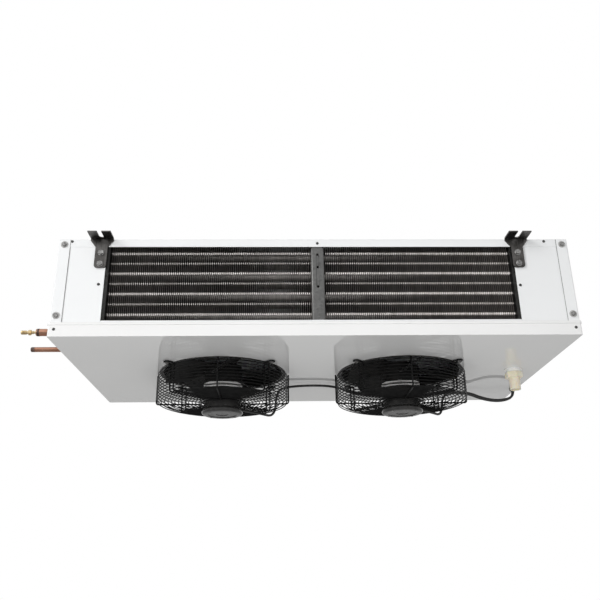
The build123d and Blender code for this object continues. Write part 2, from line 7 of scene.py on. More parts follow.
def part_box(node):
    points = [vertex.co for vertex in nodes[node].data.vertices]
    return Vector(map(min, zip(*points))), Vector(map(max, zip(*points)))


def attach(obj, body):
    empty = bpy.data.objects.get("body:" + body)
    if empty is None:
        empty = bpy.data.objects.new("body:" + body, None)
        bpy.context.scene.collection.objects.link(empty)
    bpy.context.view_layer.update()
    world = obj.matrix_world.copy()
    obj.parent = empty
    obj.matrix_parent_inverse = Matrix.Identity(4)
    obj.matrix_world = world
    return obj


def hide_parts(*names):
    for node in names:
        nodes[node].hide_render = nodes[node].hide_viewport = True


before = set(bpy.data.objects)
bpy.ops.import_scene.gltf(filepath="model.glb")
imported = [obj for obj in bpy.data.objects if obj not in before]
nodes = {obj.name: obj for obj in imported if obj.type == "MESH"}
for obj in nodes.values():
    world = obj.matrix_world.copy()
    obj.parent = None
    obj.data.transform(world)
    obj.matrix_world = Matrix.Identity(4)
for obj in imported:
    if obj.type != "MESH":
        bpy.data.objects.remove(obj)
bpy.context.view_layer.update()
scene = bpy.context.scene
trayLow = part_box("drip_tray")[0]
under = trayLow.z  # underside of the drip tray
upward, downward, leftward = (0, 0, 1), (0, 0, -1), (-1, 0, 0)
diagonals = (45, 135, 225, 315)  # bearings of the feet and the motors' screws
coilSet = {"tube": 0.00795, "pitch": 0.0508}  # radius of the coil's tubes, and their spacing
fanAt = {}
for n in (1, 2):
    low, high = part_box(f"fan_ring_{n}")
    fanAt[n] = ((low.x + high.x) / 2, (low.y + high.y) / 2, under)
print("frame loaded", len(nodes), "nodes")


# Camera, standing low in front of the unit and looking up at it

cameraSet = {"at": (-0.0839, -1.7997, -0.7489), "climb": 21.65, "turn": 1.75, "lean": -0.8, "lens": 42.256,
    "sensor": 36}


def placeCamera(spec):
    data = bpy.data.cameras.new("lookUp")
    data.lens = spec["lens"]
    data.sensor_width = spec["sensor"]
    camera = bpy.data.objects.new("lookUp", data)
    scene.collection.objects.link(camera)
    swing = Matrix.Rotation(math.radians(-spec["turn"]), 4, "Z")
    tilt = Matrix.Rotation(math.radians(90 + spec["climb"]), 4, "X")
    roll = Matrix.Rotation(math.radians(spec["lean"]), 4, "Z")
    camera.matrix_world = Matrix.Translation(spec["at"]) @ swing @ tilt @ roll
    scene.camera = camera


placeCamera(cameraSet)


# Finishes: each is grown from noise in the part's own coordinates

def startFinish(name):
    made = bpy.data.materials.new(name)
    made.use_nodes = True
    tree = made.node_tree
    shader = next(n for n in tree.nodes if n.type == "BSDF_PRINCIPLED")
    where = tree.nodes.new("ShaderNodeTexCoord")
    return made, tree, shader, where.outputs["Object"]


def grainOf(tree, where, scale, stretch=(1, 1, 1), detail=4.0):
    mapping = tree.nodes.new("ShaderNodeMapping")
    mapping.inputs["Scale"].default_value = [scale * s for s in stretch]
    noise = tree.nodes.new("ShaderNodeTexNoise")
    noise.inputs["Scale"].default_value = 1.0
    noise.inputs["Detail"].default_value = detail
    tree.links.new(where, mapping.inputs["Vector"])
    tree.links.new(mapping.outputs["Vector"], noise.inputs["Vector"])
    return noise.outputs["Fac"]


def colourBetween(tree, fac, first, second, low=0.35, high=0.65):
    ramp = tree.nodes.new("ShaderNodeValToRGB")
    ramp.color_ramp.elements[0].position = low
    ramp.color_ramp.elements[1].position = high
    ramp.color_ramp.elements[0].color = (*first, 1)
    ramp.color_ramp.elements[1].color = (*second, 1)
    tree.links.new(fac, ramp.inputs["Fac"])
    return ramp.outputs["Color"]


def roughBetween(tree, fac, low, high, shader):  # most of a noise lies between 0.3 and 0.7
    span = tree.nodes.new("ShaderNodeMapRange")
    span.inputs["From Min"].default_value = 0.3
    span.inputs["From Max"].default_value = 0.7
    span.inputs["To Min"].default_value = low
    span.inputs["To Max"].default_value = high
    tree.links.new(fac, span.inputs["Value"])
    tree.links.new(span.outputs["Result"], shader.inputs["Roughness"])


def bumpFrom(tree, fac, depth, shader):
    bump = tree.nodes.new("ShaderNodeBump")
    bump.inputs["Distance"].default_value = depth
    bump.inputs["Strength"].default_value = 1.0
    tree.links.new(fac, bump.inputs["Height"])
    tree.links.new(bump.outputs["Normal"], shader.inputs["Normal"])


def mathOf(tree, operation, *values):  # one step of sums on sockets and plain numbers
    step = tree.nodes.new("ShaderNodeMath")
    step.operation = operation
    for socket, value in zip(step.inputs, values):
        if isinstance(value, bpy.types.NodeSocket):
            tree.links.new(value, socket)
        else:
            socket.default_value = value
    return step.outputs[0]


def tintedBy(tree, first, second):  # one colour times the other
    mix = tree.nodes.new("ShaderNodeMix")
    mix.data_type = "RGBA"
    mix.blend_type = "MULTIPLY"
    mix.inputs["Factor"].default_value = 1.0
    tree.links.new(first, mix.inputs["A"])
    tree.links.new(second, mix.inputs["B"])
    return mix.outputs["Result"]


def sprayedFinish(name, spec):  # paint or enamel: faint tone drift, smears and orange peel
    made, tree, shader, where = startFinish(name)
    drift = grainOf(tree, where, spec["drift"], detail=2.0)
    tree.links.new(colourBetween(tree, drift, spec["colour"], spec["tint"]), shader.inputs["Base Color"])
    roughBetween(tree, grainOf(tree, where, spec["smear"], (1, 1, 3)), *spec["rough"], shader)
    bumpFrom(tree, grainOf(tree, where, spec["peel"], detail=1.0), spec["peelDepth"], shader)
    shader.inputs["Specular IOR Level"].default_value = spec.get("gloss", 0.5)
    shader.inputs["Coat Weight"].default_value = spec.get("coat", 0.0)
    shader.inputs["Coat Roughness"].default_value = 0.04
    return made


def metalFinish(name, spec):  # rolled or drawn metal: streaks, stains and fine scratches
    made, tree, shader, where = startFinish(name)
    streak = grainOf(tree, where, spec["streak"], spec["along"])
    stain = grainOf(tree, where, spec["stain"], detail=3.0)
    streakShare = 0.45
    both = mathOf(tree, "MULTIPLY_ADD", streak, streakShare, mathOf(tree, "MULTIPLY", stain, 1 - streakShare))
    tree.links.new(colourBetween(tree, both, spec["colour"], spec["tint"]), shader.inputs["Base Color"])
    roughBetween(tree, streak, *spec["rough"], shader)
    bumpFrom(tree, streak, spec["scratch"], shader)
    shader.inputs["Metallic"].default_value = spec.get("metal", 1.0)
    return made


def spangledFinish(name, spec):  # galvanised sheet: zinc spangle of many small plates of tone
    made, tree, shader, where = startFinish(name)
    mapping = tree.nodes.new("ShaderNodeMapping")
    mapping.inputs["Scale"].default_value = [spec["spangle"]] * 3
    cells = tree.nodes.new("ShaderNodeTexVoronoi")
    cells.inputs["Scale"].default_value = 1.0
    tree.links.new(where, mapping.inputs["Vector"])
    tree.links.new(mapping.outputs["Vector"], cells.inputs["Vector"])
    tone = tree.nodes.new("ShaderNodeSeparateColor")
    tree.links.new(cells.outputs["Color"], tone.inputs["Color"])
    cell = tone.outputs["Red"]
    colours = colourBetween(tree, cell, spec["colour"], spec["tint"], 0.0, 1.0)
    tree.links.new(colours, shader.inputs["Base Color"])
    roughBetween(tree, cell, *spec["rough"], shader)
    bumpFrom(tree, grainOf(tree, where, spec["grain"]), spec["grainDepth"], shader)
    shader.inputs["Metallic"].default_value = 1.0
    return made


def finPaintedBands(tree, height, spec):  # painted highlight where the collars meet the tubes, a fainter painted highlight midway between them, and painted shade in the dark bands in between
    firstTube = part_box("coil_tubes")[0].z + coilSet["tube"]
    rise = mathOf(tree, "SUBTRACT", height, firstTube - coilSet["pitch"] * 10)
    fold = mathOf(tree, "PINGPONG", mathOf(tree, "DIVIDE", rise, coilSet["pitch"]), 0.5)
    ramp = tree.nodes.new("ShaderNodeValToRGB")
    stops = [(0.0, "bright"), (spec["collar"][0], "bright"), (spec["collar"][1], "dark"),
        (spec["midway"][0], "dark"), (spec["midway"][1], "between"), (0.5, "between")]
    while len(ramp.color_ramp.elements) < len(stops):
        ramp.color_ramp.elements.new(0.5)
    for stop, (place, tone) in zip(ramp.color_ramp.elements, stops):
        stop.position = place
        stop.color = (*spec[tone], 1)
    tree.links.new(fold, ramp.inputs["Fac"])
    return ramp.outputs["Color"]


def finPaintedDepthLight(tree, inward, spec):  # painted light on the front edges, fading to painted shade in the gaps behind them
    depth = tree.nodes.new("ShaderNodeMapRange")
    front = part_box("coil_fins")[0].y
    depth.inputs["From Min"].default_value = front
    depth.inputs["From Max"].default_value = front + spec["edgeDepth"]
    depth.inputs["To Min"].default_value = spec["paintedEdgeLight"]
    depth.inputs["To Max"].default_value = spec["paintedGapShade"]
    tree.links.new(inward, depth.inputs["Value"])
    return depth.outputs["Result"]


def finFinish(name, spec):  # thin fins whose colour carries painted shade, painted highlights at the collars and painted light on the front edges, in random patches
    made, tree, shader, where = startFinish(name)
    apart = tree.nodes.new("ShaderNodeSeparateXYZ")
    tree.links.new(where, apart.inputs["Vector"])
    grain = grainOf(tree, where, spec["patches"], (1, 0.2, 0.2))
    patches = colourBetween(tree, grain, spec["patch"], (1, 1, 1))
    tone = tintedBy(tree, finPaintedBands(tree, apart.outputs["Z"], spec), patches)
    lit = tintedBy(tree, tone, finPaintedDepthLight(tree, apart.outputs["Y"], spec))
    tree.links.new(lit, shader.inputs["Base Color"])
    roughBetween(tree, grainOf(tree, where, spec["smear"], (1, 1, 12)), *spec["rough"], shader)
    bumpFrom(tree, grainOf(tree, where, spec["grain"], (1, 1, 0.2)), spec["grainDepth"], shader)
    shader.inputs["Metallic"].default_value = spec["metal"]
    shader.inputs["Specular IOR Level"].default_value = spec["gloss"]
    return made


def mouldedFinish(name, spec):  # moulded plastic: fine texture, slight cloudiness
    made, tree, shader, where = startFinish(name)
    handling = 300  # scale of the dull and shiny spots
    cloud = grainOf(tree, where, spec["cloud"], detail=2.0)
    tree.links.new(colourBetween(tree, cloud, spec["colour"], spec["tint"]), shader.inputs["Base Color"])
    roughBetween(tree, grainOf(tree, where, handling), *spec["rough"], shader)
    bumpFrom(tree, grainOf(tree, where, spec["texture"], detail=1.0), spec["textureDepth"], shader)
    shader.inputs["Subsurface Weight"].default_value = spec.get("milky", 0.0)
    shader.inputs["Subsurface Radius"].default_value = (0.002, 0.0015, 0.001)
    return made


casingPaint = sprayedFinish("casingPaint", {"colour": (0.86, 0.87, 0.875), "tint": (0.83, 0.84, 0.845),
    "drift": 5, "smear": 16, "rough": (0.36, 0.42), "peel": 700, "peelDepth": 0.00002})
trayEnamel = sprayedFinish("trayEnamel", {"colour": (0.85, 0.85, 0.845), "tint": (0.82, 0.82, 0.815),
    "drift": 3, "smear": 6, "rough": (0.015, 0.04), "peel": 60, "peelDepth": 0.000003, "coat": 0.7})
blackEnamel = sprayedFinish("blackEnamel", {"colour": (0.012, 0.012, 0.012), "tint": (0.022, 0.021, 0.020),
    "drift": 30, "smear": 60, "rough": (0.24, 0.36), "peel": 700, "peelDepth": 0.00001, "gloss": 0.2})
motorEnamel = sprayedFinish("motorEnamel", {"colour": (0.020, 0.020, 0.020), "tint": (0.034, 0.033, 0.032),
    "drift": 60, "smear": 40, "rough": (0.18, 0.28), "peel": 500, "peelDepth": 0.00001, "gloss": 0.5})
wireCoat = sprayedFinish("wireCoat", {"colour": (0.006, 0.006, 0.006), "tint": (0.012, 0.012, 0.012),
    "drift": 50, "smear": 80, "rough": (0.30, 0.45), "peel": 1500, "peelDepth": 0.00002, "gloss": 0.1})
# near-black zinc for the tube sheets: painted shade, so they read as a shadowed gap beside the coil
zincInPaintedShade = spangledFinish("zincInPaintedShade", {"colour": (0.025, 0.025, 0.024), "tint": (0.050, 0.050, 0.049),
    "spangle": 190, "rough": (0.45, 0.6), "grain": 900, "grainDepth": 0.00002})
zincSheet = spangledFinish("zincSheet", {"colour": (0.12, 0.12, 0.118), "tint": (0.18, 0.18, 0.177),
    "spangle": 190, "rough": (0.36, 0.55), "grain": 900, "grainDepth": 0.00002})
# fin colours: dark is painted shade on the aluminium, bright and between are painted highlights at the tube
# rows, and the edge and gap numbers paint light on the front edges and shade in the gaps
finSheet = finFinish("finSheet", {"dark": (0.050, 0.046, 0.043), "bright": (0.50, 0.475, 0.46),
    "between": (0.30, 0.285, 0.27), "collar": (0.035, 0.085), "midway": (0.43, 0.47), "edgeDepth": 0.009,
    "paintedEdgeLight": 3.8, "paintedGapShade": 0.30, "patches": 180, "patch": (0.55, 0.54, 0.53), "smear": 60,
    "rough": (0.40, 0.55), "grain": 400, "grainDepth": 0.00002, "metal": 0.15, "gloss": 0.3})
finCollar = metalFinish("finCollar", {"colour": (0.30, 0.28, 0.27), "tint": (0.74, 0.70, 0.67),
    "streak": 220, "along": (1, 0.05, 0.05), "stain": 25, "rough": (0.35, 0.5), "scratch": 0.00002,
    "metal": 0.6})
brushedSteel = metalFinish("brushedSteel", {"colour": (0.038, 0.036, 0.034), "tint": (0.145, 0.140, 0.136),
    "streak": 90, "along": (9, 1, 0.4), "stain": 40, "rough": (0.28, 0.46), "scratch": 0.00003})
boltSteel = metalFinish("boltSteel", {"colour": (0.10, 0.10, 0.098), "tint": (0.38, 0.376, 0.37),
    "streak": 500, "along": (1, 1, 1), "stain": 200, "rough": (0.25, 0.42), "scratch": 0.00002})
washerZinc = metalFinish("washerZinc", {"colour": (0.34, 0.34, 0.335), "tint": (0.58, 0.575, 0.565),
    "streak": 400, "along": (1, 1, 1), "stain": 150, "rough": (0.3, 0.45), "scratch": 0.00002,
    "metal": 0.5})
screwSteel = metalFinish("screwSteel", {"colour": (0.05, 0.05, 0.049), "tint": (0.14, 0.138, 0.135),
    "streak": 500, "along": (1, 1, 1), "stain": 200, "rough": (0.3, 0.5), "scratch": 0.00002})
drawnCopper = metalFinish("drawnCopper", {"colour": (0.34, 0.16, 0.105), "tint": (0.54, 0.30, 0.21),
    "streak": 160, "along": (0.25, 4, 4), "stain": 30, "rough": (0.18, 0.34), "scratch": 0.00002})
burntCopper = metalFinish("burntCopper", {"colour": (0.045, 0.034, 0.030), "tint": (0.14, 0.10, 0.085),
    "streak": 160, "along": (0.5, 3, 3), "stain": 60, "rough": (0.35, 0.55), "scratch": 0.00002})
turnedBrass = metalFinish("turnedBrass", {"colour": (0.50, 0.36, 0.18), "tint": (0.74, 0.58, 0.34),
    "streak": 900, "along": (6, 0.5, 0.5), "stain": 90, "rough": (0.18, 0.32), "scratch": 0.00002})
brightRim = metalFinish("brightRim", {"colour": (0.86, 0.85, 0.84), "tint": (0.95, 0.94, 0.93),
    "streak": 300, "along": (1, 1, 6), "stain": 60, "rough": (0.22, 0.38), "scratch": 0.00002,
    "metal": 0.1})
drainIvory = mouldedFinish("drainIvory", {"colour": (0.93, 0.86, 0.70), "tint": (0.88, 0.80, 0.63),
    "cloud": 40, "rough": (0.24, 0.36), "texture": 900, "textureDepth": 0.00002, "milky": 0.5})
nutWhite = mouldedFinish("nutWhite", {"colour": (0.94, 0.93, 0.90), "tint": (0.90, 0.89, 0.86), "cloud": 50,
    "rough": (0.30, 0.45), "texture": 900, "textureDepth": 0.00002, "milky": 0.1})
# dark grey for the seam strips: painted shade in the gaps beside the end covers
seamShade = mouldedFinish("seamShade", {"colour": (0.16, 0.16, 0.158), "tint": (0.24, 0.24, 0.237),
    "cloud": 60, "rough": (0.5, 0.7), "texture": 900, "textureDepth": 0.00002})
cableSheath = mouldedFinish("cableSheath", {"colour": (0.012, 0.012, 0.012), "tint": (0.025, 0.024, 0.023),
    "cloud": 120, "rough": (0.34, 0.5), "texture": 1400, "textureDepth": 0.00003})
nylonBlack = mouldedFinish("nylonBlack", {"colour": (0.018, 0.018, 0.018), "tint": (0.032, 0.031, 0.030),
    "cloud": 90, "rough": (0.42, 0.6), "texture": 1600, "textureDepth": 0.00003})
plugRubber = mouldedFinish("plugRubber", {"colour": (0.055, 0.030, 0.022), "tint": (0.09, 0.05, 0.035),
    "cloud": 150, "rough": (0.45, 0.6), "texture": 1200, "textureDepth": 0.00004})
# pale, unmetallic colour of the collar lips: painted highlight, on aluminium like the dark fins
lipPaintedHighlight = metalFinish("lipPaintedHighlight", {"colour": (0.42, 0.40, 0.385), "tint": (0.80, 0.76, 0.73),
    "streak": 130, "along": (1, 0.1, 0.1), "stain": 20, "rough": (0.45, 0.6), "scratch": 0.00001,
    "metal": 0.0})
print("finishes mixed", len(bpy.data.materials))


# Shared making

def dress(piece, body, finishMade, stands=()):  # finish and body, and the nodes it stands for
    piece.data.materials.clear()
    piece.data.materials.append(finishMade)
    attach(piece, body)
    if stands:
        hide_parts(*stands)


def soften(piece, width, segments, angle):
    bevel = piece.modifiers.new("eased", "BEVEL")
    bevel.width = width
    bevel.segments = segments
    bevel.limit_method = "ANGLE"
    bevel.angle_limit = math.radians(angle)


def meshPiece(name, points, faces):
    sharpAngle = 32
    data = bpy.data.meshes.new(name)
    data.from_pydata([tuple(p) for p in points], [], faces)
    data.validate()
    work = bmesh.new()
    work.from_mesh(data)
    bmesh.ops.recalc_face_normals(work, faces=work.faces)
    work.to_mesh(data)
    work.free()
    data.polygons.foreach_set("use_smooth", [True] * len(data.polygons))
    data.set_sharp_from_angle(angle=math.radians(sharpAngle))
    piece = bpy.data.objects.new(name, data)
    scene.collection.objects.link(piece)
    return piece


def axisFrame(at, axis):
    turn = Vector(axis).normalized().to_track_quat("Z", "X").to_matrix().to_4x4()
    return Matrix.Translation(Vector(at)) @ turn


def turned(name, parts, steps):  # each part: outline of (radius, height), at, axis, sides or None
    points, faces = [], []
    for profile, at, axis, sides in parts:
        base = axisFrame(at, axis)
        count = sides or steps
        start = len(points)
        for radius, height in profile:
            for k in range(count):
                a = math.tau * k / count
                points.append(base @ Vector((radius * math.cos(a), radius * math.sin(a), height)))
        last = start + (len(profile) - 1) * count
        for here in range(start, last, count):
            for k in range(count):
                n = (k + 1) % count
                faces.append((here + k, here + n, here + count + n, here + count + k))
        if profile[0] == profile[-1]:  # a closed outline needs no end faces
            continue
        faces.append(tuple(start + k for k in reversed(range(count))))
        faces.append(tuple(last + k for k in range(count)))
    return meshPiece(name, points, faces)


def moved(outline, radius, height):  # the steps of an outline, taken from one radius and height
    return [(radius + out, height + up) for out, up in outline]


def rounded(radius, low, high, ease):  # outline of a short cylinder with eased rims
    dish, smallest = 2.2, 0.0002  # the end faces are divided this far in, in eases, but not at the axis
    steps = [(1 - math.cos(math.radians(a)), math.sin(math.radians(a))) for a in (0, 30, 60, 90)]
    first = [(radius - ease + ease * s, low + ease * c) for c, s in steps]
    last = [(radius - ease * c, high - ease + ease * s) for c, s in steps]
    inner = max(radius - ease * dish, smallest)
    return [(inner, low)] + first + last + [(inner, high)]


def addWire(curve, points, bend):  # a wire that runs straight and turns in round bends
    corners = [Vector(p) for p in points]
    inBend, inStraight = 0.45, 0.3  # how far the handles reach
    spots = [(corners[0], None, None)]
    for last, p, following in zip(corners, corners[1:], corners[2:]):
        before = (last - p).normalized() * bend
        after = (following - p).normalized() * bend
        spots.append((p + before, None, p + before * inBend))
        spots.append((p + after, p + after * inBend, None))
    spots.append((corners[-1], None, None))
    spline = curve.splines.new("BEZIER")
    spline.bezier_points.add(len(spots) - 1)
    for i, (p, left, right) in enumerate(spots):
        knot = spline.bezier_points[i]
        knot.handle_left_type = knot.handle_right_type = "FREE"
        knot.co = p
        before = spots[i - 1][0] if i else p
        after = spots[i + 1][0] if i + 1 < len(spots) else p
        knot.handle_left = left or p.lerp(before, inStraight)
        knot.handle_right = right or p.lerp(after, inStraight)


def addHoop(curve, centre, radius, knots=8):  # a round hoop of equal bends
    reach = 4 / 3 * math.tan(math.pi / 2 / knots) * radius
    spline = curve.splines.new("BEZIER")
    spline.bezier_points.add(knots - 1)
    spline.use_cyclic_u = True
    for i in range(knots):
        a = math.tau * i / knots
        out = Vector((math.cos(a), math.sin(a), 0))
        along = Vector((-math.sin(a), math.cos(a), 0))
        knot = spline.bezier_points[i]
        knot.handle_left_type = knot.handle_right_type = "FREE"
        knot.co = Vector(centre) + out * radius
        knot.handle_left = knot.co - along * reach
        knot.handle_right = knot.co + along * reach


def newWire(name, radius, smoothness, roundness):
    curve = bpy.data.curves.new(name, "CURVE")
    curve.dimensions = "3D"
    curve.bevel_depth = radius
    curve.bevel_resolution = roundness
    curve.resolution_u = smoothness
    curve.use_fill_caps = True
    piece = bpy.data.objects.new(name, curve)
    scene.collection.objects.link(piece)
    return piece, curve


# Fan leads: from each motor out through its guard, along the tray and into the gland

leadSet = {"thick": 0.0065, "reach": 0.060, "level": -0.085, "bearing": 45,
    "first": [(-0.1420, 0.0910, -0.3285), (-0.0990, 0.1410, -0.3280), (-0.0950, 0.1390, -0.2600),
        (-0.0700, 0.0930, -0.2530), (0.0600, 0.0870, -0.2520), (0.1180, 0.1660, -0.2550),
        (0.2060, 0.2020, -0.2550), (0.3020, 0.1940, -0.2550), (0.3800, 0.1660, -0.2560),
        (0.4520, 0.1660, -0.2580), (0.4920, 0.1720, -0.2730), (0.5310, 0.1740, -0.2800),
        (0.5620, 0.1720, -0.2780), (0.5830, 0.1670, -0.2690)],
    "second": [(0.3260, 0.0910, -0.3285), (0.3690, 0.1410, -0.3280), (0.3740, 0.1410, -0.2610),
        (0.4500, 0.1540, -0.2570), (0.4920, 0.1630, -0.2720), (0.5310, 0.1660, -0.2790),
        (0.5620, 0.1640, -0.2770), (0.5830, 0.1590, -0.2690)],
    "gland": (0.584, 0.162), "glandDepth": 0.010, "spread": 0.004, "lengths": (0.941, 0.406),
    "relief": [(0.0075, -0.014), (0.0075, -0.006), (0.0062, -0.0045), (0.0062, -0.003),
        (0.0052, -0.0025), (0.0052, -0.0012), (0.0042, -0.0008), (0.0042, 0.0)]}


def leadFor(number, spec):
    bearing = math.radians(spec["bearing"])
    out = Vector((math.cos(bearing), math.sin(bearing), 0))
    boss = Vector(fanAt[number]) + Vector((0, 0, spec["level"])) + out * spec["reach"]
    side = spec["spread"] if number == 1 else -spec["spread"]
    entry = Vector((spec["gland"][0], spec["gland"][1] + side, under - spec["glandDepth"]))
    route = [boss] + [Vector(p) for p in spec["first" if number == 1 else "second"]] + [entry]
    piece, curve = newWire(f"leadCable{number}", spec["thick"] / 2, 14, 5)
    spline = curve.splines.new("NURBS")
    spline.points.add(len(route) - 1)
    for knot, p in zip(spline.points, route):
        knot.co = (*p, 1)
    spline.order_u = 3
    spline.use_endpoint_u = True
    dress(piece, "unit", cableSheath, (f"fan_lead_{number}",))
    relief = turned(f"leadRelief{number}", [(spec["relief"], boss, out, None)], 28)
    dress(relief, "unit", nylonBlack)


for n in (1, 2):
    leadFor(n, leadSet)
print("leads laid")


# Sheet metal and coil that keep their own shape

nodeFinishes = {
    "top_panel": casingPaint, "back_panel": casingPaint, "front_panel_left": casingPaint,
    "front_panel_right": casingPaint, "front_sill": casingPaint, "end_cover_left": casingPaint,
    "end_cover_right": casingPaint, "drip_tray": trayEnamel, "tube_sheet_left": zincInPaintedShade,
    "tube_sheet_right": zincInPaintedShade, "centre_support": zincSheet, "coil_fins": finSheet,
    "coil_tubes": finCollar, "suction_stub": drawnCopper, "liquid_stub": drawnCopper,
    "hanger_front_left": brushedSteel, "hanger_front_right": brushedSteel,
    "hanger_rear_left": brushedSteel, "hanger_rear_right": brushedSteel,
}
easedNodes = {
    "top_panel": 0.0011, "back_panel": 0.0004, "front_panel_left": 0.0004, "front_panel_right": 0.0004,
    "front_sill": 0.0008, "end_cover_left": 0.0009, "end_cover_right": 0.0009, "drip_tray": 0.0007,
    "centre_support": 0.0008, "tube_sheet_left": 0.0005, "tube_sheet_right": 0.0005,
    "hanger_front_left": 0.0008, "hanger_front_right": 0.0008, "hanger_rear_left": 0.0008,
    "hanger_rear_right": 0.0008,
}
weldReach = 0.00001
for name, made in nodeFinishes.items():
    nodes[name].data.materials.clear()
    nodes[name].data.materials.append(made)
for name, width in easedNodes.items():
    weld = nodes[name].modifiers.new("joined", "WELD")
    weld.merge_threshold = weldReach
    soften(nodes[name], width, 2, 40)
print("sheet metal finished")


# Lips of the fin collars along each tube and fainter ones midway, coloured as bright dashes: painted
# highlight on the aluminium

lipSet = {"wide": 0.0022, "tall": 0.0043, "midWide": 0.0013, "midTall": 0.0034, "bow": 0.0003,
    "levels": 7, "fin": 0.0004, "finStep": 0.0045, "steps": 3, "taper": 0.2, "proud": 0.0001, "lean": 0.0005,
    "strut": (0.004, 0.017)}  # the strut's middle and half of what it hides


def lipAt(x, y, z, wide, tall, spec):  # one lip, bowed outward across its height
    points = []
    for step in range(spec["steps"] + 1):
        h = -tall / 2 + tall * step / spec["steps"]
        bulge = 1 - (2 * h / tall) ** 2
        front = y - spec["proud"] - spec["bow"] * bulge
        reach = wide * (1 - spec["taper"] + bulge * spec["taper"])
        points += [(x, front, z + h), (x + reach, front + spec["lean"], z + h)]
    return points


def collarLips(spec):
    low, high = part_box("coil_fins")
    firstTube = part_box("coil_tubes")[0].z + coilSet["tube"]
    count = round((high.x - low.x - spec["fin"]) / spec["finStep"]) + 1
    middle, hidden = spec["strut"]
    points, faces = [], []
    for f in range(count):
        x = low.x + spec["fin"] / 2 + f * spec["finStep"]
        if abs(x - middle) < hidden:
            continue
        for k in range(spec["levels"]):
            wide, tall = (spec["wide"], spec["tall"]) if k % 2 == 0 else (spec["midWide"], spec["midTall"])
            start = len(points)
            z = firstTube + k * coilSet["pitch"] / 2
            points += lipAt(x + spec["fin"] / 2, low.y, z, wide, tall, spec)
            for n in range(spec["steps"]):
                first = start + 2 * n
                faces.append((first, first + 1, first + 3, first + 2))
    dress(meshPiece("collarLips", points, faces), "unit", lipPaintedHighlight)


collarLips(lipSet)
print("collar lips set")


# Wire guards: hoops down the side and over the floor, bent ribs and double arms with eyes

guardSet = {"wire": 0.0013, "armWire": 0.0020, "radius": 0.1680, "drop": 0.0778, "sideStep": 0.0078,
    "floorStep": 0.0088, "floorInset": 0.0015, "inner": 0.0535, "armDrop": 0.0030, "armGap": 0.014,
    "foot": 0.182, "eye": 0.0060, "bend": 0.006}


def guardHoops(number, spec, floor):
    cx, cy, top = fanAt[number]
    hoops, curve = newWire(f"guardHoops{number}", spec["wire"], 6, 2)
    level = top - spec["sideStep"]
    while level > floor + spec["sideStep"] * 0.5:
        addHoop(curve, (cx, cy, level), spec["radius"])
        level -= spec["sideStep"]
    radius = spec["radius"] - spec["floorInset"]
    while radius > spec["inner"]:
        addHoop(curve, (cx, cy, floor), radius)
        radius -= spec["floorStep"]
    dress(hoops, "unit", wireCoat, (f"fan_guard_{number}",))


def guardArms(number, spec, floor):
    cx, cy, top = fanAt[number]
    arms, curve = newWire(f"guardArms{number}", spec["armWire"], 8, 2)
    raised = Vector((0, 0, top - spec["armDrop"]))
    lap = spec["wire"] + spec["armWire"]
    for bearing in range(0, 360, 45):
        a = math.radians(bearing)
        out, aside = Vector((math.cos(a), math.sin(a), 0)), Vector((-math.sin(a), math.cos(a), 0))
        centre = Vector((cx, cy, 0))
        double = bearing % 90 == 45  # pairs run inside the hoops, the rest outside
        side = -lap if double else lap
        rib, deep = spec["radius"] + side, Vector((0, 0, floor - side))
        for shift in ((-0.5, 0.5) if double else (0,)):
            at = centre + aside * (shift * spec["armGap"])
            points = [at + out * spec["inner"] + deep, at + out * rib + deep, at + out * rib + raised]
            if double:
                points.append(at + out * (spec["foot"] - spec["eye"]) + raised)
            addWire(curve, points, spec["bend"])
        if double:
            addHoop(curve, centre + out * spec["foot"] + raised, spec["eye"] + spec["armWire"] / 2, 6)
    for level in (floor + lap, floor - lap):
        addHoop(curve, (cx, cy, level), spec["inner"] + spec["armWire"])
    dress(arms, "unit", wireCoat)


for n in (1, 2):
    guardFloor = under - guardSet["drop"] + guardSet["wire"]
    guardHoops(n, guardSet, guardFloor)
    guardArms(n, guardSet, guardFloor)
print("guards bent")


# Guard feet: washer, hexagon head and shank at each eye

footScrew = {"reach": 0.182, "level": -0.0045, "washer": [0.0068, 0.0, 0.0012, 0.0003],
    "shank": [0.0030, -0.0046, 0.0002, 0.0003],
    "head": [(0.0046, 0.0010), (0.0046, 0.0038), (0.003956, 0.0045)]}


def feetFor(number, spec):
    cx, cy, top = fanAt[number]
    parts = []
    for bearing in diagonals:
        a = math.radians(bearing)
        at = (cx + spec["reach"] * math.cos(a), cy + spec["reach"] * math.sin(a), top + spec["level"])
        parts.append((rounded(*spec["washer"]), at, downward, None))
        parts.append((spec["head"], at, downward, 6))
        parts.append((rounded(*spec["shank"]), at, downward, None))
    dress(turned(f"guardFeet{number}", parts, 24), "unit", boltSteel)


for n in (1, 2):
    feetFor(n, footScrew)
print("guard feet screwed")


# Fan rings: pressed flange with a rolled inlet lip

ringSet = {"outer": 0.1648, "inner": 0.1542, "gauge": 0.0015, "height": 0.030, "seat": -0.0002,
    "flange": [(-0.0003, 0.0), (-0.002, 0.0)],
    "lip": [(0.0075, 0.0), (0.005, 0.0002), (0.0025, 0.0012), (0.0006, 0.0032)], "throat": 0.004,
    "back": [(0.0017, 0.004), (0.0035, 0.0), (0.006, -0.0002)]}


def ringFor(number, spec):
    o, i, g, h = spec["outer"], spec["inner"], spec["gauge"], spec["height"]
    profile = [(o, spec["seat"])] + moved(spec["flange"], o, -g) + moved(spec["lip"], i, -g)
    profile += [(i, spec["throat"]), (i, h), (i + g, h)] + moved(spec["back"], i, 0) + [(o, spec["seat"])]
    piece = turned(f"inletRing{number}", [(profile, fanAt[number], upward, None)], 128)
    dress(piece, "unit", blackEnamel, (f"fan_ring_{number}",))


for n in (1, 2):
    ringFor(n, ringSet)
print("inlet rings pressed")


# Rotors: five sickle blades on a drum with a bright lower rim

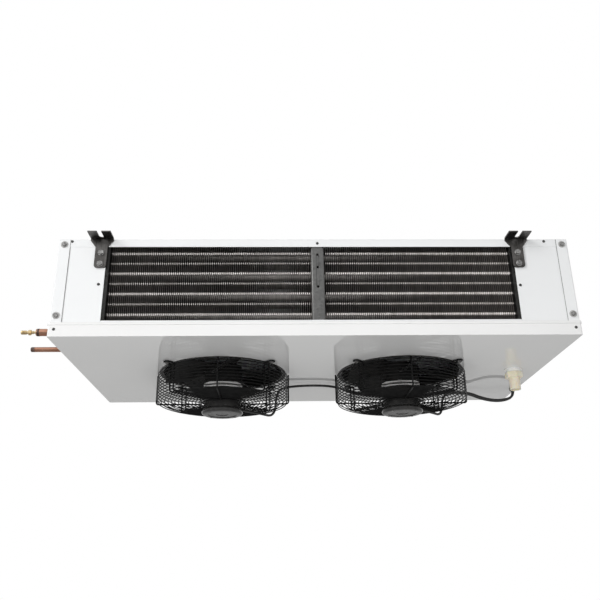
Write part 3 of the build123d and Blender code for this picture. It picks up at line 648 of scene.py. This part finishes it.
rotorSet = {"blades": 5, "pitch": 28, "chord": 0.134, "rise": 0.011, "tip": 0.1496,
    "level": -0.002, "lead": [(0.044, -0.023), (0.095, -0.050), (-22, 0)],
    "trail": [(0.044, 0.023), (0.095, 0.022), (14, 0)], "along": 14, "across": 12, "gauge": 0.0024,
    "ease": 0.0008, "drum": 0.0498, "drumTop": 0.020, "drumLow": -0.034, "bore": (0.0002, 0.004),
    "crown": [(-0.006, 0.0), (-0.0022, -0.0006), (-0.0006, -0.0024), (0.0, -0.006)],
    "seat": [(0.0, 0.0055), (-0.0012, 0.005), (-0.0012, 0.0040)],
    "rim": [(-0.003, 0.0048), (0.0002, 0.0046), (0.0002, 0.0006), (-0.0004, 0.0), (-0.0042, 0.0),
        (-0.0046, 0.003)]}


def edgeAt(spec, side, u):  # a blade's edge bends from its root through a middle point to its tip's bearing
    start, middle, tip = (Vector(p) for p in spec[side])
    a = math.radians(tip.x)
    end = Vector((spec["tip"] * math.cos(a), spec["tip"] * math.sin(a)))
    control = middle * 2 - (start + end) * 0.5
    return start * (1 - u) ** 2 + control * 2 * u * (1 - u) + end * u * u


def bladeHeight(spec, y):  # height of the arched, tilted blade over a point across it
    p = math.radians(spec["pitch"])
    s = y / math.cos(p)
    for k in range(6):  # by then the place along the arch has settled
        arch = spec["rise"] * (1 - (2 * s / spec["chord"]) ** 2)
        s = (y + arch * math.sin(p)) / math.cos(p)
    return s * math.sin(p) + spec["rise"] * (1 - (2 * s / spec["chord"]) ** 2) * math.cos(p)


def bladePoints(spec, turn, centre):
    points = []
    for i in range(spec["along"] + 1):
        first, second = (edgeAt(spec, side, i / spec["along"]) for side in ("lead", "trail"))
        r1, r2 = first.length, second.length
        a1, a2 = math.atan2(first.y, first.x), math.atan2(second.y, second.x)
        for j in range(spec["across"] + 1):
            v = j / spec["across"]
            r, a = r1 + (r2 - r1) * v, a1 + (a2 - a1) * v
            x, y = r * math.cos(a), r * math.sin(a)
            points.append(turn @ Vector((x, y, spec["level"] + bladeHeight(spec, y))) + centre)
    return points


def bladesFor(number, spec):
    points, faces = [], []
    row = spec["across"] + 1
    for b in range(spec["blades"]):
        start = len(points)
        turn = Matrix.Rotation(math.tau * b / spec["blades"], 3, "Z")
        points += bladePoints(spec, turn, Vector(fanAt[number]))
        for i in range(spec["along"]):
            for j in range(spec["across"]):
                k = start + i * row + j
                faces.append((k, k + 1, k + row + 1, k + row))
    blades = meshPiece(f"fanBlades{number}", points, faces)
    thick = blades.modifiers.new("gauge", "SOLIDIFY")
    thick.thickness = spec["gauge"]
    thick.offset = 0
    soften(blades, spec["ease"], 3, 50)
    dress(blades, f"fan_{number}", blackEnamel, (f"fan_rotor_{number}",))


def drumFor(number, spec):
    r, top, low = spec["drum"], spec["drumTop"], spec["drumLow"]
    wall = [(spec["bore"][0], top)] + moved(spec["crown"], r, top) + moved(spec["seat"], r, low)
    drum = turned(f"fanDrum{number}", [(wall, fanAt[number], upward, None)], 72)
    dress(drum, f"fan_{number}", blackEnamel)
    band = moved(spec["rim"], r, low) + [(spec["bore"][1], low + spec["rim"][-1][1])]
    rim = turned(f"fanRim{number}", [(band, fanAt[number], upward, None)], 72)
    dress(rim, f"fan_{number}", brightRim)


for n in (1, 2):
    bladesFor(n, rotorSet)
    drumFor(n, rotorSet)
print("rotors made")


# Motors: stator pot with cooling grooves, wider end cap, four cap screws

motorSet = {"pot": 0.0478, "cap": 0.0533, "top": -0.0425, "capTop": -0.0975, "base": -0.1080, "bore": 0.012,
    "potEdge": [(-0.004, 0.0), (-0.0012, -0.0006), (0.0, -0.0026)],
    "grooves": 3, "firstGroove": 0.008, "grooveStep": 0.0095,
    "groove": [(0.0, 0.0), (-0.0011, -0.0006), (-0.0011, -0.0022), (0.0, -0.0028)],
    "neck": [(0.0, 0.0035), (0.0012, 0.0016)],
    "shoulder": [(-0.0022, 0.0006), (-0.0006, -0.0004), (0.0, -0.0022)],
    "foot": [(0.0, 0.0060), (-0.0010, 0.0030), (-0.0032, 0.0008), (-0.0062, 0.0001), (-0.016, 0.0),
        (-0.0166, 0.0012)],
    "hub": [(0.016, 0.0012), (0.0155, 0.0022), (0.0002, 0.0022)],
    "seat": [(0.012, -0.0384), (0.0484, -0.0384), (0.0492, -0.0389), (0.0492, -0.0417), (0.0484, -0.0424),
        (0.012, -0.0424)],
    "screwCircle": 0.043, "screwSink": 0.0006,
    "screw": [(0.0036, 0.0), (0.0036, 0.0009), (0.0030, 0.0014), (0.0018, 0.0016)]}


def motorFor(number, spec):
    at = fanAt[number]
    pot, cap, top, capTop, base = (spec[k] for k in ("pot", "cap", "top", "capTop", "base"))
    profile = [(spec["bore"], top)] + moved(spec["potEdge"], pot, top)
    for k in range(spec["grooves"]):
        profile += moved(spec["groove"], pot, top - spec["firstGroove"] - k * spec["grooveStep"])
    profile += moved(spec["neck"], pot, capTop) + moved(spec["shoulder"], cap, capTop)
    profile += moved(spec["foot"], cap, base) + moved(spec["hub"], 0, base)
    body = turned(f"motorPot{number}", [(profile, at, upward, None)], 96)
    dress(body, "unit", motorEnamel, (f"fan_motor_{number}",))
    seat = turned(f"motorSeat{number}", [(spec["seat"], at, upward, None)], 72)
    dress(seat, "unit", brightRim)
    parts = []
    for bearing in diagonals:
        a, reach = math.radians(bearing), spec["screwCircle"]
        spot = (at[0] + reach * math.cos(a), at[1] + reach * math.sin(a), under + base + spec["screwSink"])
        parts.append((spec["screw"], spot, downward, None))
    dress(turned(f"motorScrews{number}", parts, 20), "unit", boltSteel)


for n in (1, 2):
    motorFor(n, motorSet)
print("motors turned")


# Cable gland: hexagon against the tray, and the round dome that the leads enter

glandSet = {"hexagon": [(0.0094, 0.0), (0.0094, 0.0042), (0.0088, 0.0047)],
    "dome": [(0.0088, 0.0044), (0.0090, 0.0052), (0.0090, 0.0078), (0.0084, 0.0092), (0.0074, 0.0100),
        (0.0050, 0.0100)]}


def glandFor(spec):
    at = (*leadSet["gland"], under)
    gland = turned("cableGland", [(spec["hexagon"], at, downward, 6), (spec["dome"], at, downward, None)], 36)
    dress(gland, "unit", nylonBlack, ("cable_gland",))


glandFor(glandSet)
print("gland fitted")


# Bolts: hexagon heads on washers at the covers and hangers

coverBoltSet = {"flats": 0.0100, "head": 0.0037, "washer": 0.0084, "washerThick": 0.0013}
hangerBoltSet = {"flats": 0.0120, "head": 0.0037, "washer": 0.0072, "washerThick": 0.0012}
boltShape = {"inset": (0.007, 0.005, 0.00606), "washerEase": 0.0003,  # inset from the box round all the bolts
    "foot": [(0.99, -0.0001), (1.0, 0.0004)], "shoulder": [(1.0, -0.0008), (0.88, -0.0001)],
    "crown": [(0.0052, -0.0006), (0.0050, 0.0), (0.0044, -0.0003), (0.0010, -0.0003)]}


def boltsOn(name, node, spec):
    low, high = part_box(node)
    aside, back, rise = boltShape["inset"]
    corner, seat = spec["flats"] / math.sqrt(3), spec["washerThick"]
    top = seat + spec["head"]
    hexagon = [(corner * share, seat + up) for share, up in boltShape["foot"]]
    hexagon += [(corner * share, top + up) for share, up in boltShape["shoulder"]]
    washer = rounded(spec["washer"], 0.0, seat, boltShape["washerEase"])
    crown = moved(boltShape["crown"], 0, top)
    parts, washers = [], []
    for x in (low.x + aside, high.x - aside):
        for y, way in ((low.y + back, -1), (high.y - back, 1)):
            for z in (low.z + rise, high.z - rise):
                at, axis = (x, y, z), (0, way, 0)
                washers.append((washer, at, axis, None))
                parts += [(hexagon, at, axis, 6), (crown, at, axis, None)]
    dress(turned(name + "Washers", washers, 32), "unit", washerZinc)
    dress(turned(name, parts, 24), "unit", boltSteel, (node,))


boltsOn("coverBolts", "cover_bolts", coverBoltSet)
boltsOn("hangerBolts", "hanger_bolts", hangerBoltSet)
print("bolts set")


# Painted shade: dark strips in the seams between the end covers and the panels beside them, standing for the
# shadow in the gaps

seamShadeSet = {"wide": 0.0010, "proud": 0.00015, "deep": 0.0006, "short": 0.001,
    "seams": (("end_cover_left", 1), ("end_cover_right", 0))}  # each cover, and which of its ends is inward


def coverSeams(spec):
    points, faces = [], []
    for node, inward in spec["seams"]:
        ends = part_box(node)
        bottom, top = ends[0].z + spec["short"], ends[1].z - spec["short"]
        for side, way in ((0, -1), (1, 1)):
            start, face = len(points), ends[side].y
            for x in (ends[inward].x - spec["wide"] / 2, ends[inward].x + spec["wide"] / 2):
                for y in (face + way * spec["proud"], face - way * spec["deep"]):
                    points += [(x, y, bottom), (x, y, top)]
            for ring in ((0, 1, 3, 2), (4, 6, 7, 5), (0, 4, 5, 1), (2, 3, 7, 6), (0, 2, 6, 4), (1, 5, 7, 3)):
                faces.append(tuple(start + k for k in (ring if way < 0 else ring[::-1])))
    dress(meshPiece("coverSeams", points, faces), "unit", seamShade)


coverSeams(seamShadeSet)
print("cover seams sealed")


# Small pan-head screws that hold the panels

screwSet = {"radius": 0.0034, "sink": 0.0001,
    "rail": [(-0.568, 0.234), (0.543, 0.234), (0.004, 0.229)], "panel": [(-0.498, 0.126), (0.473, 0.122)],
    "rim": [(-0.586, 0.017), (0.586, 0.017)],
    "fronts": {"rail": 0.0030, "panel": 0.0042, "rim": 0.0015},  # how far each face stands behind the tray's
    "head": [(1.0, 0.0), (1.0, 0.0006), (0.92, 0.0012), (0.7, 0.0017), (0.4, 0.0019)],
    "recess": [(0.0012, 0.0019), (0.0008, 0.0009)]}


def panScrews(spec):
    head = [(spec["radius"] * share, height) for share, height in spec["head"]] + spec["recess"]
    parts = []
    for place, depth in spec["fronts"].items():
        face = trayLow.y + depth + spec["sink"]
        for x, z in spec[place]:
            parts.append((head, (x, face, under + z), (0, -1, 0), None))
    dress(turned("panelScrews", parts, 24), "unit", screwSteel)


panScrews(screwSet)
print("panel screws set")


# Copper: return bends, and the two lines behind the left cover

stubPlaces = {"suction": (-0.070, under + 0.093), "liquid": (-0.070, under + 0.047)}
copperSet = {"levels": 4, "fit": 0.0001, "turnFit": 0.0002, "widestTurn": 0.022, "turnShare": 2.2,
    "suction": {"radius": 0.0095, "turnX": -0.548}, "liquid": {"radius": 0.00635, "turnX": -0.525}}
tubeLow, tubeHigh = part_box("coil_tubes")
rows = (tubeLow.y + coilSet["tube"], tubeHigh.y - coilSet["tube"])
tubeLevels = [tubeLow.z + coilSet["tube"] + k * coilSet["pitch"] for k in range(copperSet["levels"])]


def returnBends(spec):
    bends, curve = newWire("returnBends", coilSet["tube"] - spec["fit"], 8, 5)
    pairs = [(tubeHigh.x, 1, (y, tubeLevels[k]), (y, tubeLevels[k + 1])) for y in rows for k in (0, 2)]
    pairs += [(tubeLow.x, -1, (y, tubeLevels[1]), (y, tubeLevels[2])) for y in rows]
    pairs += [(tubeLow.x, -1, (rows[0], tubeLevels[3]), (rows[1], tubeLevels[3]))]
    half = coilSet["pitch"] / 2
    for x, way, first, second in pairs:
        out = x + way * half
        addWire(curve, [(x, *first), (out, *first), (out, *second), (x, *second)], half - spec["turnFit"])
    dress(bends, "unit", drawnCopper, ("return_bends",))


def lineFor(kind, row, spec):
    radius, turnX = spec[kind]["radius"] - spec["fit"], spec[kind]["turnX"]
    piece, curve = newWire(kind + "Bend", radius, 8, 5)
    start, stub = (row, tubeLevels[0]), stubPlaces[kind]
    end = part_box(kind + "_line")[0].x
    turn = min(spec["widestTurn"], radius * spec["turnShare"])
    addWire(curve, [(tubeLow.x, *start), (turnX, *start), (turnX, *stub), (end, *stub)], turn)
    dress(piece, "unit", drawnCopper, (kind + "_line",))


returnBends(copperSet)
lineFor("suction", rows[0], copperSet)
lineFor("liquid", rows[1], copperSet)
print("copper bent")


# Access valve at the end of the suction stub, the plug in the liquid stub, and their joints

valveSet = {
    "joint": [(0.0094, -0.0015), (0.0093, 0.0), (0.0086, 0.0012), (0.0060, 0.0020), (0.0040, 0.0028),
        (0.0033, 0.0040)],
    "braze": [(0.0094, -0.0080), (0.0099, -0.0072), (0.0099, -0.0024), (0.0094, -0.0016)],
    "neck": [(0.00318, 0.0), (0.00318, 0.0080)],
    "barrel": [(0.0037, 0.0076), (0.0040, 0.0080), (0.0040, 0.0140), (0.0040, 0.0260)],
    "hexagon": [(0.0066, 0.0140), (0.0075, 0.0146), (0.0075, 0.0204), (0.0066, 0.0210)],
    "capFoot": (0.0050, 0.0262), "ribs": 6, "ribStep": 0.0013,
    "rib": [(0.0054, 0.0266), (0.0054, 0.0272), (0.0050, 0.0275)],
    "capTop": [(0.0054, 0.0350), (0.0054, 0.0385), (0.0048, 0.0396), (0.0030, 0.0400)]}
plugSet = {
    "plug": [(0.0058, -0.0040), (0.00635, -0.0036), (0.00635, 0.0070), (0.0060, 0.0090), (0.0050, 0.0099),
        (0.0030, 0.0100)],
    "suction": [(0.0096, -0.0016), (0.0128, -0.0016), (0.0136, -0.0006), (0.0136, 0.0010), (0.0122, 0.0022),
        (0.0096, 0.0026), (0.0096, -0.0016)],
    "liquid": [(0.0065, -0.0016), (0.0096, -0.0016), (0.0104, -0.0006), (0.0104, 0.0010), (0.0090, 0.0022),
        (0.0065, 0.0026), (0.0065, -0.0016)]}  # the grommets of the two stubs


def valveOn(spec):
    tip = (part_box("suction_stub")[0].x, *stubPlaces["suction"])
    joint = turned("suctionJoint", [(spec["joint"], tip, leftward, None)], 32)
    dress(joint, "unit", turnedBrass)
    braze = turned("brazeRing", [(spec["braze"], tip, leftward, None)], 40)
    dress(braze, "unit", burntCopper)
    parts = [(spec["neck"], tip, leftward, None), (spec["barrel"], tip, leftward, None),
        (spec["hexagon"], tip, leftward, 6)]
    dress(turned("accessValve", parts, 28), "unit", turnedBrass, ("access_valve",))
    profile = [spec["capFoot"]]
    for k in range(spec["ribs"]):
        profile += moved(spec["rib"], 0, k * spec["ribStep"])
    cap = turned("valveCap", [(profile + spec["capTop"], tip, leftward, None)], 28)
    dress(cap, "unit", turnedBrass, ("valve_cap",))


def plugAndGrommets(spec):
    at = (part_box("liquid_stub")[0].x, *stubPlaces["liquid"])
    plug = turned("liquidPlug", [(spec["plug"], at, leftward, None)], 32)
    dress(plug, "unit", plugRubber, ("liquid_plug",))
    parts = []
    for kind in ("suction", "liquid"):
        seat = (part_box(kind + "_stub")[1].x, *stubPlaces[kind])
        parts.append((spec[kind], seat, leftward, None))
    dress(turned("stubGrommets", parts, 36), "unit", nylonBlack)


valveOn(valveSet)
plugAndGrommets(plugSet)
print("valve and plug made")


# Drain: white flange nut, ivory hexagon and spigot

drainSet = {"at": (0.527, -0.029), "nutDepth": 0.009, "flats": 0.040, "hexDepth": 0.015, "tubeLong": 0.031,
    "bore": 0.0100, "collar": 0.0124, "above": -0.0075, "into": 0.001, "start": 0.0004,
    "nut": [(0.0130, 0.0), (0.0215, 0.0), (0.0219, 0.0006), (0.0219, 0.0028), (0.0207, 0.0040),
        (0.0196, 0.0044), (0.0192, 0.0050), (0.0188, 0.0084), (0.0180, 0.0090), (0.0130, 0.0090),
        (0.0130, 0.0)],
    "hexTop": [(0.94, 0.0001), (0.995, 0.0012)], "hexFoot": [(0.995, -0.0014), (0.93, -0.0001)],
    "hexBore": 0.0132, "shoulder": [(0.0150, -0.0006), (0.0150, 0.0020), (0.0140, 0.0034)],
    "mouth": [(0.0140, -0.0064), (0.0139, -0.0060), (0.0139, -0.0008), (0.0132, 0.0), (0.0106, 0.0),
        (0.0100, -0.0008)]}


def drainFor(spec):
    at = (*spec["at"], under)
    nut = turned("drainNut", [(spec["nut"], at, downward, None)], 48)
    dress(nut, "unit", nutWhite, ("drain_nut",))
    corner, top = spec["flats"] / math.sqrt(3), spec["nutDepth"]
    foot = top + spec["hexDepth"]
    end = foot + spec["tubeLong"]
    collar, bore, above, into = spec["collar"], spec["bore"], spec["above"], top + spec["into"]
    neck = [(collar, above), (collar, into), (bore, into), (bore, above), (collar, above)]
    hexagon = [(corner * share, top + up) for share, up in spec["hexTop"]]
    hexagon += [(corner * share, foot + up) for share, up in spec["hexFoot"]]
    hexagon += [(spec["hexBore"], foot), (spec["hexBore"], top + spec["hexTop"][0][1]), hexagon[0]]
    inner = (bore, top + spec["start"])
    tube = [inner] + moved(spec["shoulder"], 0, foot) + moved(spec["mouth"], 0, end) + [inner]
    parts = [(neck, at, downward, None), (hexagon, at, downward, 6), (tube, at, downward, None)]
    dress(turned("drainSpigot", parts, 56), "unit", drainIvory, ("drain_outlet",))


drainFor(drainSet)
print("drain made")


# Room: pale floor well below, plain soft light, white surroundings

roomSet = {"floorLevel": -2.6, "floorReach": 40, "floorGlow": 0.5, "floorTone": (0.84, 0.84, 0.835),
    "floorTint": (0.86, 0.86, 0.855), "sky": 0.335, "sun": 1.18, "sunWide": 28, "sunClimb": 24,
    "sunTurn": -50, "lampSize": (0.5, 1.6), "lamps": {"softLeft": ((-1.5, -1.7, -0.5), (0, 0, -0.25), 12.5),
        "softLow": ((0.1, -1.6, -0.8), (0.2, 0, -0.25), 6.8)}}  # where each stands, where it aims, its power


def makeFloor(spec):
    data = bpy.data.meshes.new("roomFloor")
    s, z = spec["floorReach"], spec["floorLevel"]
    data.from_pydata([(-s, -s, z), (s, -s, z), (s, s, z), (-s, s, z)], [], [(0, 1, 2, 3)])
    floor = bpy.data.objects.new("roomFloor", data)
    scene.collection.objects.link(floor)
    made, tree, shader, where = startFinish("paleFloor")
    tone = colourBetween(tree, grainOf(tree, where, 3), spec["floorTone"], spec["floorTint"])
    tree.links.new(tone, shader.inputs["Base Color"])
    roughBetween(tree, grainOf(tree, where, 12), 0.6, 0.8, shader)
    path = tree.nodes.new("ShaderNodeLightPath")  # the camera sees it as nearly white, shadow and all
    glow = mathOf(tree, "MULTIPLY", path.outputs["Is Camera Ray"], spec["floorGlow"])
    tree.links.new(glow, shader.inputs["Emission Strength"])
    shader.inputs["Emission Color"].default_value = (1, 1, 1, 1)
    floor.data.materials.append(made)


def makeWorld(spec):
    world = bpy.data.worlds.new("whiteRoom")
    world.use_nodes = True
    scene.world = world
    tree = world.node_tree
    back = next(n for n in tree.nodes if n.type == "BACKGROUND")
    path = tree.nodes.new("ShaderNodeLightPath")
    span = tree.nodes.new("ShaderNodeMapRange")  # white to the camera and in gloss, dimmer as light
    span.inputs["To Min"].default_value = spec["sky"]
    span.inputs["To Max"].default_value = 1.0
    seen = path.outputs["Is Camera Ray"]
    for kind in ("Is Glossy Ray", "Is Transmission Ray"):
        seen = mathOf(tree, "MAXIMUM", seen, path.outputs[kind])
    tree.links.new(seen, span.inputs["Value"])
    tree.links.new(span.outputs["Result"], back.inputs["Strength"])
    back.inputs["Color"].default_value = (1, 1, 1, 1)


def makeLamps(spec):
    lamp = bpy.data.lights.new("frontLight", "SUN")
    lamp.energy = spec["sun"]
    lamp.angle = math.radians(spec["sunWide"])
    shine = bpy.data.objects.new("frontLight", lamp)
    shine.rotation_euler = (math.radians(90 - spec["sunClimb"]), 0, math.radians(spec["sunTurn"]))
    scene.collection.objects.link(shine)
    for name, (place, aim, power) in spec["lamps"].items():
        lamp = bpy.data.lights.new(name, "AREA")
        lamp.shape = "RECTANGLE"
        lamp.size, lamp.size_y = spec["lampSize"]
        lamp.energy = power
        box = bpy.data.objects.new(name, lamp)
        box.location = place
        box.rotation_euler = (Vector(aim) - Vector(place)).to_track_quat("-Z", "Y").to_euler()
        box.visible_glossy = False  # lights the pale sheet without a hard patch in its gloss
        scene.collection.objects.link(box)


makeFloor(roomSet)
makeWorld(roomSet)
makeLamps(roomSet)
scene.view_settings.view_transform = "Standard"
print("room lit")
